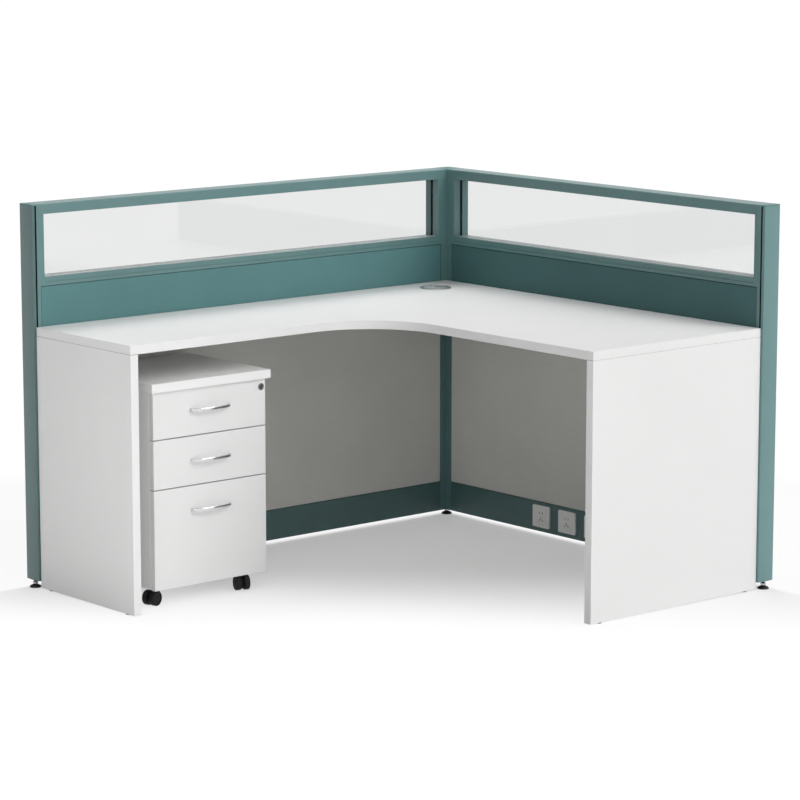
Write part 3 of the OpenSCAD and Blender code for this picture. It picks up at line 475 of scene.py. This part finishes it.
def arc(cx, cz, r, a0, a1, steps=6):
    """Points on an arc, angles in degrees."""
    out = []
    for k in range(steps + 1):
        a = math.radians(a0 + (a1 - a0) * k / steps)
        out.append((cx + r * math.cos(a), cz + r * math.sin(a)))
    return out


# Handles: a flat bar with rounded edges, swept in a bow
BOW_HALF_THICK = 2.2 * MM
BOW_HALF_TALL = 4.86 * MM
# The bow's ends stay this far inside the CAD handle's ends, and its middle this far
# behind its front
BOW_END = 3.2 * MM
BOW_SPARE = 0.3 * MM
# Below 1, the bow is fuller in its middle and steeper at its feet
BOW_POWER = 0.8
# These keep the bow's direction defined at its feet, where it is steepest
BOW_LEAST_ARCH = 0.02
BOW_LEAST_RUN = 1e-5
# At its feet the bar is thicker and less tall by these shares
FOOT_THICKER = 0.35
FOOT_LOWER = 0.25
BOW_STEPS = 48
BOW_AROUND = 16
# The bar's section: 2 would be an ellipse, and more is squarer
BOW_SQUARE = 4


def bow_ring(middle, t, reach, rise):
    """The outline of the bar at t, from -1 to 1 along it. middle is the point midway
    between its feet."""
    x, y, z = middle
    turn = t * math.pi / 2
    arch = math.cos(turn)
    base = Vector((x + reach * math.sin(turn), y - rise * arch ** BOW_POWER, z))
    dx = reach * arch * math.pi / 2 + BOW_LEAST_RUN
    dy = rise * BOW_POWER * max(arch, BOW_LEAST_ARCH) ** (BOW_POWER - 1)
    dy *= math.sin(turn) * math.pi / 2
    across = Vector((-dy, dx, 0)).normalized()
    thick = BOW_HALF_THICK * (1 + FOOT_THICKER * (1 - arch))
    tall = BOW_HALF_TALL * (1 - FOOT_LOWER * (1 - arch))
    points = []
    for k in range(BOW_AROUND):
        a = 2 * math.pi * k / BOW_AROUND
        c, s = math.cos(a), math.sin(a)
        out = (abs(c) ** BOW_SQUARE + abs(s) ** BOW_SQUARE) ** (-1 / BOW_SQUARE)
        point = base + across * (thick * out * c)
        point.z += tall * out * s
        point.y = min(point.y, y)
        points.append(point)
    return points


def build_handle(node):
    """A bow handle, flush with the drawer's front at both feet."""
    low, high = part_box(node)
    middle = ((low.x + high.x) / 2, high.y, (low.z + high.z) / 2)
    reach = (high.x - low.x) / 2 - BOW_END
    rise = high.y - low.y - BOW_HALF_THICK - BOW_SPARE
    bm = bmesh.new()
    rings = []
    for k in range(BOW_STEPS + 1):
        outline = bow_ring(middle, -1 + 2 * k / BOW_STEPS, reach, rise)
        rings.append([bm.verts.new(point) for point in outline])
    skin(bm, rings)
    bm.faces.new(rings[0])
    bm.faces.new(rings[-1][::-1])
    face_outwards(bm, smooth=True)
    stand_for(make_object("look_" + node, bm, finish_of(node)), node)


# Levelling feet
STEM_R = 4.5 * MM
THREAD_PITCH = 1.25 * MM
THREAD_DEEP = 0.5 * MM
DISC_EDGE_R = 1.5 * MM
CONE_TOP = 10 * MM
FOOT_STEPS = 48
NUT_R = 8 * MM
NUT_TALL = 5 * MM
NUT_AT = 11 * MM
NUT_SIDES = 6


def build_foot(node):
    """Disc, cone and threaded stem in one piece, and a lock nut."""
    x, y, _ = JOINTS[node + "_turn"]["pos_m"]
    low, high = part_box(node)
    disc, top = (high.x - low.x) / 2, high.z
    root = STEM_R - THREAD_DEEP
    profile = [(0, 0), (disc - 1 * MM, 0)]
    profile += arc(disc - DISC_EDGE_R, DISC_EDGE_R, DISC_EDGE_R, -60, 60)
    profile += [(disc - 3 * MM, 5.5 * MM), (STEM_R + 4 * MM, 8 * MM), (STEM_R, CONE_TOP)]
    z = CONE_TOP
    while z < top - THREAD_PITCH:
        profile += [(STEM_R, z + 0.35 * THREAD_PITCH), (root, z + 0.7 * THREAD_PITCH)]
        z += THREAD_PITCH
    profile += [(root, top), (0, top)]
    at = Matrix.Translation((x, y, 0))
    stand_for(lathe("look_" + node, profile, FOOT_STEPS, finish_of(node), at), node)
    profile = [(STEM_R, 0), (NUT_R, 0), (NUT_R, NUT_TALL), (STEM_R, NUT_TALL)]
    at = Matrix.Translation((x, y, NUT_AT))
    nut = lathe("nut_" + node, profile, NUT_SIDES, MATERIALS["steel"], at)
    for f in nut.data.polygons:
        f.use_smooth = False
    put_on(nut, node)


# Cable outlet
FLANGE_TALL = 3 * MM
FLANGE_EDGE_R = 2.2 * MM
SLEEVE_R = 39.5 * MM
SLEEVE_WALL = 2.5 * MM
SEAT_R = 36.1 * MM
SEAT_DEEP = 2.6 * MM
SEAT_WALL = 2 * MM
BORE_R = 33.1 * MM
RING_STEPS = 96
# The share of the lid's radius inside which an upright face belongs to the slot
SLOT_REACH = 0.9


def build_ring():
    """The cable outlet's ring with a rolled flange."""
    node = "grommet_ring"
    low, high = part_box(node)
    x, y, _ = JOINTS["grommet_lid_turn"]["pos_m"]
    rim, top = (high.x - low.x) / 2, high.z
    desk, seat = top - FLANGE_TALL, top - SEAT_DEEP
    inner = SLEEVE_R - SLEEVE_WALL
    profile = [(SLEEVE_R, low.z), (SLEEVE_R, desk), (rim - 0.4 * MM, desk)]
    profile += arc(rim - FLANGE_EDGE_R, desk + 0.4 * MM, FLANGE_EDGE_R, 0, 90, 8)
    profile += [(rim - 4 * MM, top - 0.05 * MM), (SEAT_R + 0.5 * MM, top - 0.05 * MM)]
    profile += [(SEAT_R, top - 0.5 * MM), (SEAT_R, seat), (BORE_R, seat)]
    profile += [(BORE_R, seat - SEAT_WALL), (inner, seat - SEAT_WALL), (inner, low.z)]
    at = Matrix.Translation((x, y, 0))
    stand_for(lathe("look_" + node, profile, RING_STEPS, finish_of(node), at), node)


def darken_slot():
    """The walls of the cable slot in the lid are painted dark: painted shade inside the slot."""
    obj = bpy.data.objects["look_grommet_lid"]
    centre = Vector(JOINTS["grommet_lid_turn"]["pos_m"])
    low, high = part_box("grommet_lid")
    reach = SLOT_REACH * (high.x - low.x) / 2
    obj.data.materials.append(MATERIALS["recess_painted_shade"])
    for f in obj.data.polygons:
        upright = abs(f.normal.z) < 0.5
        if upright and (f.center - centre).to_2d().length < reach:
            f.material_index = 1


# Castor wheels
WHEEL_R = 21 * MM
WHEEL_WIDE = 15 * MM
WHEEL_HALF_GAP = 5.5 * MM
AXLE_R = 3 * MM
WHEEL_STEPS = 56


def build_wheels(node):
    """Twin wheels: rounded treads, dished faces with a hub, on one axle."""
    r, w = WHEEL_R, WHEEL_WIDE
    half = [(AXLE_R, 0), (r - 1 * MM, 0)]
    half += arc(r - 1 * MM, 1 * MM, 1 * MM, -60, 0, 3)
    half += arc(r - 3 * MM, w - 3 * MM, 3 * MM, 0, 80, 6)
    half += [(r - 4.5 * MM, w - 0.4 * MM), (r - 5.2 * MM, w - 1.6 * MM)]
    half += [(8 * MM, w - 2.2 * MM), (6.5 * MM, w - 0.8 * MM), (4 * MM, w), (0, w)]
    upper = [(radius, WHEEL_HALF_GAP + height) for radius, height in half]
    lower = [(radius, -height) for radius, height in reversed(upper)]
    spin = JOINTS[node + "_spin"]
    axis = Vector(spin["axis"]).normalized()
    turn = Vector((0, 0, 1)).rotation_difference(axis).to_matrix().to_4x4()
    at = Matrix.Translation(spin["pos_m"]) @ turn
    profile = lower + upper
    stand_for(lathe("look_" + node, profile, WHEEL_STEPS, finish_of(node), at), node)


def add_box(bm, low, high):
    m = Matrix.Translation((Vector(low) + Vector(high)) / 2)
    m = m @ Matrix.Diagonal((*(Vector(high) - Vector(low)), 1))
    bmesh.ops.create_cube(bm, size=1, matrix=m)


def add_prism(bm, outline, low, high):
    """A closed block from low to high over an outline of (x, y) points."""
    rings = [[bm.verts.new((x, y, z)) for x, y in outline] for z in (low, high)]
    for ring in rings:
        bm.faces.new(ring)
    skin(bm, rings)
    face_outwards(bm)


def add_square_frame(bm, centre, inner, outer, depth):
    """A closed square frame that stands on the plane x = centre.x and faces -x."""
    x, y, z = centre
    corners = ((-1, -1), (1, -1), (1, 1), (-1, 1))
    sections = ((x, outer), (x - depth, outer), (x - depth, inner), (x, inner))
    rings = [
        [bm.verts.new((at, y + b * reach, z + c * reach)) for b, c in corners]
        for at, reach in sections
    ]
    skin(bm, rings + rings[:1])
    face_outwards(bm)


# Power outlets: how the plates stand in a row, their rims and the painted shade behind the slots
OUTLETS = 3
OUTLET_PITCH = 113 * MM
OUTLET_WIDE = 73 * MM
RIM_HALF = 25 * MM
RIM_HALF_WIDE = 0.6 * MM
RIM_PROUD = 0.7 * MM
DARK_FROM, DARK_TO = 0.5 * MM, 1.5 * MM
DARK_HALF_WIDE, DARK_HALF_TALL = 14 * MM, 18 * MM


def build_outlet_faces():
    """A raised square rim round the plug slots of each outlet, and dark slot floors of painted shade."""
    node = "outlet_plates"
    low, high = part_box(node)
    x, z = low.x, (low.z + high.z) / 2
    rims, floors = bmesh.new(), bmesh.new()
    for k in range(OUTLETS):
        y = high.y - OUTLET_WIDE / 2 - k * OUTLET_PITCH
        add_square_frame(rims, (x, y, z), RIM_HALF - RIM_HALF_WIDE,
                         RIM_HALF + RIM_HALF_WIDE, RIM_PROUD)
        add_box(floors, (x + DARK_FROM, y - DARK_HALF_WIDE, z - DARK_HALF_TALL),
                (x + DARK_TO, y + DARK_HALF_WIDE, z + DARK_HALF_TALL))
    put_on(make_object("outlet_rims", rims, finish_of(node)), node)
    put_on(make_object("outlet_slot_shade_floors", floors, MATERIALS["recess_painted_shade"]), node)


# Thin strips of the screens
# The black strips of painted shade in the grooves beside the end covers
GROOVE_WIDE = 5 * MM
GROOVE_DEEP = 6 * MM
GROOVE_BELOW_TOP = 1 * MM
# How far the panes reach into the frame, and half their thickness with a hair of room
GLASS_BITE = 8 * MM
GLASS_HALF = 2.6 * MM
# The pale strips of painted reflection on the rails: how far they reach from the glass, and half their height
REFLECTION_REACH = 21 * MM
REFLECTION_HALF_TALL = 0.6 * MM
# How far the seals go across the glass, into the frame and out over the pane
SEAL_REACH = 4.4 * MM
SEAL_IN = 4 * MM
SIDE_LIP = 2 * MM
LEVEL_LIP = 0.2 * MM
# The dark line of painted shade at the top of the end panels: its inset, half height and depth
JOINT_INSET = 0.3 * MM
JOINT_HALF_TALL = 0.8 * MM
JOINT_DEEP = 3 * MM
# The panes, with the axis that each runs along
PANES = (("back_glass", 0), ("side_glass", 1))


def cut_box(low, high, ranges):
    """The box from low to high, with other ends on the axes that ranges names."""
    a, b = Vector(low), Vector(high)
    for axis, ends in ranges.items():
        a[axis], b[axis] = min(ends), max(ends)
    return a, b


def make_strips(name, boxes, material):
    """Thin strips as one object, one box each."""
    bm = bmesh.new()
    for low, high in boxes:
        add_box(bm, low, high)
    return make_object(name, bm, MATERIALS[material])


def build_groove_shade_strips():
    """A black strip in each groove between a screen and its end cover: painted shade that darkens the groove."""
    for side, along in (("back", 0), ("side", 1)):
        node = "end_post_" + side
        low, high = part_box(node)
        across = 1 - along
        boxes = []
        for face, inward in ((low[across], 1), (high[across], -1)):
            boxes.append(cut_box(low, high, {
                along: (high[along] - GROOVE_WIDE, high[along]),
                across: (face, face + inward * GROOVE_DEEP),
                2: (low.z, high.z - GROOVE_BELOW_TOP),
            }))
        strips = make_strips("groove_shade_strip_" + side, boxes, "groove_painted_shade")
        put_on(strips, node)


def build_rail_top_reflections():
    """A pale flat strip on the rail below each pane, on both sides of the glass: a painted reflection of the
    bright light on the rail's top.
    """
    for pane, along in PANES:
        side = pane.split("_")[0]
        rail = side + "_mid_rail"
        low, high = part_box(pane)
        rail_low, rail_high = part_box(rail)
        across = 1 - along
        mid = (low[across] + high[across]) / 2
        boxes = []
        for face in (-1, 1):
            boxes.append(cut_box(rail_low, rail_high, {
                along: (low[along] + GLASS_BITE, high[along] - GLASS_BITE),
                across: (mid + face * GLASS_HALF, mid + face * REFLECTION_REACH),
                2: (rail_high.z - REFLECTION_HALF_TALL, rail_high.z + REFLECTION_HALF_TALL),
            }))
        put_on(make_strips("rail_top_reflection_" + side, boxes, "rail_top_painted_reflection"), rail)


def build_joint_shade_lines():
    """A fine dark line in the gap between the top and each end panel, on its two open sides: painted shade."""
    for side, outer, front in (("back", 0, 1), ("side", 1, 0)):
        node = "end_panel_" + side
        low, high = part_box(node)
        u0, v0 = low[outer] + JOINT_INSET, low[front] + JOINT_INSET
        u1, v1 = high[outer], high[front]
        u, v = u0 + JOINT_DEEP, v0 + JOINT_DEEP
        outline = [(u0, v0), (u1, v0), (u1, v), (u, v), (u, v1), (u0, v1)]
        if outer == 1:
            outline = [(x, y) for y, x in outline]
        bm = bmesh.new()
        add_prism(bm, outline, high.z - JOINT_HALF_TALL, high.z + JOINT_HALF_TALL)
        obj = make_object("joint_shade_line_" + side, bm, MATERIALS["joint_painted_shade"])
        put_on(obj, node)


def build_seals():
    """Black strips along the sides of each pane, and lower ones above and below it, whose lighter grey-teal is a
    painted reflection.
    """
    upright, level = [], []
    for pane, along in PANES:
        low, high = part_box(pane)
        across = 1 - along
        mid = (low[across] + high[across]) / 2
        for face in (-1, 1):
            wide = (mid + face * GLASS_HALF, mid + face * SEAL_REACH)
            for axis, lip, boxes in ((along, SIDE_LIP, upright), (2, LEVEL_LIP, level)):
                for start, inward in ((low[axis] + GLASS_BITE, 1),
                                      (high[axis] - GLASS_BITE, -1)):
                    ends = (start - inward * SEAL_IN, start + inward * lip)
                    boxes.append(cut_box(low, high, {axis: ends, across: wide}))
    node = "glass_seals"
    stand_for(make_strips("look_" + node, upright, "seal"), node)
    put_on(make_strips("level_seals_painted_reflection", level, "level_seal_painted_reflection"), node)


# Stage, lights and camera

FLOOR_HALF = 60.0
FLOOR_TONE = 0.86
FLOOR_VARY = 0.01
FLOOR_PATCH = 0.8
FLOOR_ROUGH = 0.9
FLOOR_SPECULAR = 0.1
# The least share of plain white in what is seen of the floor, near the object. It
# makes the shadow under the desk as light as in the photograph
SHADOW_LIFT = 0.33
# The share grows in front of the workstation, along the line from its inner corner
FRONT_WAY = (-0.65, -0.76, 0.0)
FRONT_FROM = -0.30
FRONT_ALL = 0.68
# Behind the screens the floor is nearly white from under them outwards
BEHIND_WHITE = 0.85
BEHIND_X = (0.75, 0.80)
BEHIND_Y = (0.65, 0.70)
# Distances from the middle between which it turns all white on every side
WHITE_FROM = 1.15
WHITE_ALL = 2.3
# The white that the camera sees of the floor and the world
SEEN_WHITE = 1.02
# Studio light: a world that is brighter towards one side, and soft boxes
SKY_STRENGTH = 1.08
SKY_AIM = (0.30, -0.90, 0.32)
# Gloss shows the seen white where the direction's z is below the first of these, and
# the lit sky where it is above the second
HORIZON_FROM = 0.2
HORIZON_TO = 0.6
# Name, place, target, size, power in watts and, where it isn't 180, spread in degrees
LAMPS = [
    ("key", (2.6, -5.2, 4.6), (0.0, 0.0, 0.5), (3.0, 2.4), 112),
    ("top", (1.0, 1.8, 5.0), (0.0, 0.0, 0.7), (3.0, 2.0), 118),
    ("left", (-5.5, -2.5, 2.0), (0.0, 0.0, 0.5), (3.0, 2.5), 29),
    ("left_floor", (-2.4, -0.8, 3.0), (-2.4, -0.8, 0.0), (1.2, 2.6), 31, 70),
]
# The camera of the photograph, from a fit to the object's corners; angles in degrees
LENS_MM = 142.15
SENSOR_MM = 36.0
CLIP_END = 100.0
CAMERA_AT = (-5.6964, -6.6639, 2.0614)
CAMERA_DOWN = 9.847
CAMERA_TURN = -40.54


def seen_rays(tree, glossy=1.0):
    """1 for what the camera sees, also through glass, and glossy for metal and gloss."""
    path = tree.nodes.new("ShaderNodeLightPath")
    rays = math_node(tree, "MAXIMUM", path.outputs["Is Camera Ray"],
                     path.outputs["Is Transmission Ray"])
    shine = math_node(tree, "MULTIPLY", path.outputs["Is Glossy Ray"], glossy)
    return math_node(tree, "MAXIMUM", rays, shine)


def white_share(tree, where):
    """How much of what is seen of the floor is plain white, 0 to 1."""
    far = smooth_rise(tree, vector_node(tree, "LENGTH", where), SHADOW_LIFT,
                      WHITE_FROM, WHITE_ALL)
    ahead = vector_node(tree, "DOT_PRODUCT", where, FRONT_WAY)
    front = smooth_rise(tree, ahead, SHADOW_LIFT, FRONT_FROM, FRONT_ALL)
    split = axes(tree, where)
    behind = math_node(
        tree, "MAXIMUM",
        ramp(tree, split["X"], 0, BEHIND_WHITE, *BEHIND_X),
        ramp(tree, split["Y"], 0, BEHIND_WHITE, *BEHIND_Y),
    )
    return math_node(tree, "MAXIMUM", math_node(tree, "MAXIMUM", far, behind), front)


def build_stage():
    """A wide pale floor. Near the object it takes shadows; away from it, it is seen as
    plain white."""
    mat, tree, shader = new_material("floor")
    where = object_coords(tree)
    tone = mix_colours(tree, ramp(tree, noise(tree, where, FLOOR_PATCH), 0, 1),
                       (FLOOR_TONE - FLOOR_VARY,) * 3, (FLOOR_TONE + FLOOR_VARY,) * 3)
    link(tree, tone, shader.inputs["Base Color"])
    shader.inputs["Roughness"].default_value = FLOOR_ROUGH
    shader.inputs["Specular IOR Level"].default_value = FLOOR_SPECULAR
    glow = tree.nodes.new("ShaderNodeEmission")
    glow.inputs["Strength"].default_value = SEEN_WHITE
    mix = tree.nodes.new("ShaderNodeMixShader")
    share = math_node(tree, "MULTIPLY", white_share(tree, where), seen_rays(tree))
    link(tree, share, mix.inputs["Fac"])
    link(tree, shader.outputs["BSDF"], mix.inputs[1])
    link(tree, glow.outputs["Emission"], mix.inputs[2])
    link(tree, mix.outputs["Shader"], tree.nodes["Material Output"].inputs["Surface"])
    bm = bmesh.new()
    corners = ((-1, -1), (1, -1), (1, 1), (-1, 1))
    bm.faces.new([bm.verts.new((x * FLOOR_HALF, y * FLOOR_HALF, 0)) for x, y in corners])
    make_object("floor", bm, mat)


def build_world():
    """Soft light, stronger from the front; what the camera sees of it is white."""
    world = bpy.data.worlds.new("studio")
    bpy.context.scene.world = world
    world.use_nodes = True
    tree = world.node_tree
    back = tree.nodes["Background"]
    way = tree.nodes.new("ShaderNodeTexCoord").outputs["Generated"]
    towards = vector_node(tree, "DOT_PRODUCT", way, Vector(SKY_AIM).normalized())
    lit = math_node(tree, "MULTIPLY", math_node(tree, "MAXIMUM", towards, 0.0),
                    SKY_STRENGTH)
    low = ramp(tree, axes(tree, way)["Z"], 1.0, 0.0, HORIZON_FROM, HORIZON_TO)
    m = tree.nodes.new("ShaderNodeMix")
    m.data_type = "FLOAT"
    link(tree, seen_rays(tree, low), m.inputs["Factor"])
    link(tree, lit, m.inputs["A"])
    m.inputs["B"].default_value = SEEN_WHITE
    link(tree, m.outputs["Result"], back.inputs["Strength"])
    back.inputs["Color"].default_value = (1, 1, 1, 1)


def area_light(name, where, target, size, power, spread=180):
    data = bpy.data.lights.new(name, "AREA")
    data.shape = "RECTANGLE"
    data.size, data.size_y = size
    data.energy = power
    data.spread = math.radians(spread)
    obj = bpy.data.objects.new(name, data)
    obj.location = where
    aim = Vector(target) - Vector(where)
    obj.rotation_euler = aim.to_track_quat("-Z", "Y").to_euler()
    bpy.context.scene.collection.objects.link(obj)


def build_camera():
    data = bpy.data.cameras.new("camera")
    data.lens = LENS_MM
    data.sensor_width = SENSOR_MM
    data.clip_end = CLIP_END
    obj = bpy.data.objects.new("camera", data)
    obj.location = CAMERA_AT
    obj.rotation_euler = (math.radians(90 - CAMERA_DOWN), 0, math.radians(CAMERA_TURN))
    bpy.context.scene.collection.objects.link(obj)
    bpy.context.scene.camera = obj


for node_name, radius_mm in EDGE_RADIUS.items():
    soften(node_name, radius_mm * MM)
for number in (1, 2, 3):
    build_handle(f"drawer_{number}_handle")
for foot in ("foot_back", "foot_corner", "foot_side"):
    build_foot(foot)
build_ring()
darken_slot()
for number in (1, 2, 3, 4):
    build_wheels(f"wheels_{number}")
build_outlet_faces()
build_groove_shade_strips()
build_rail_top_reflections()
build_joint_shade_lines()
build_seals()
build_stage()
build_world()
for lamp in LAMPS:
    area_light(*lamp)
build_camera()
bpy.context.scene.view_settings.view_transform = "Standard"
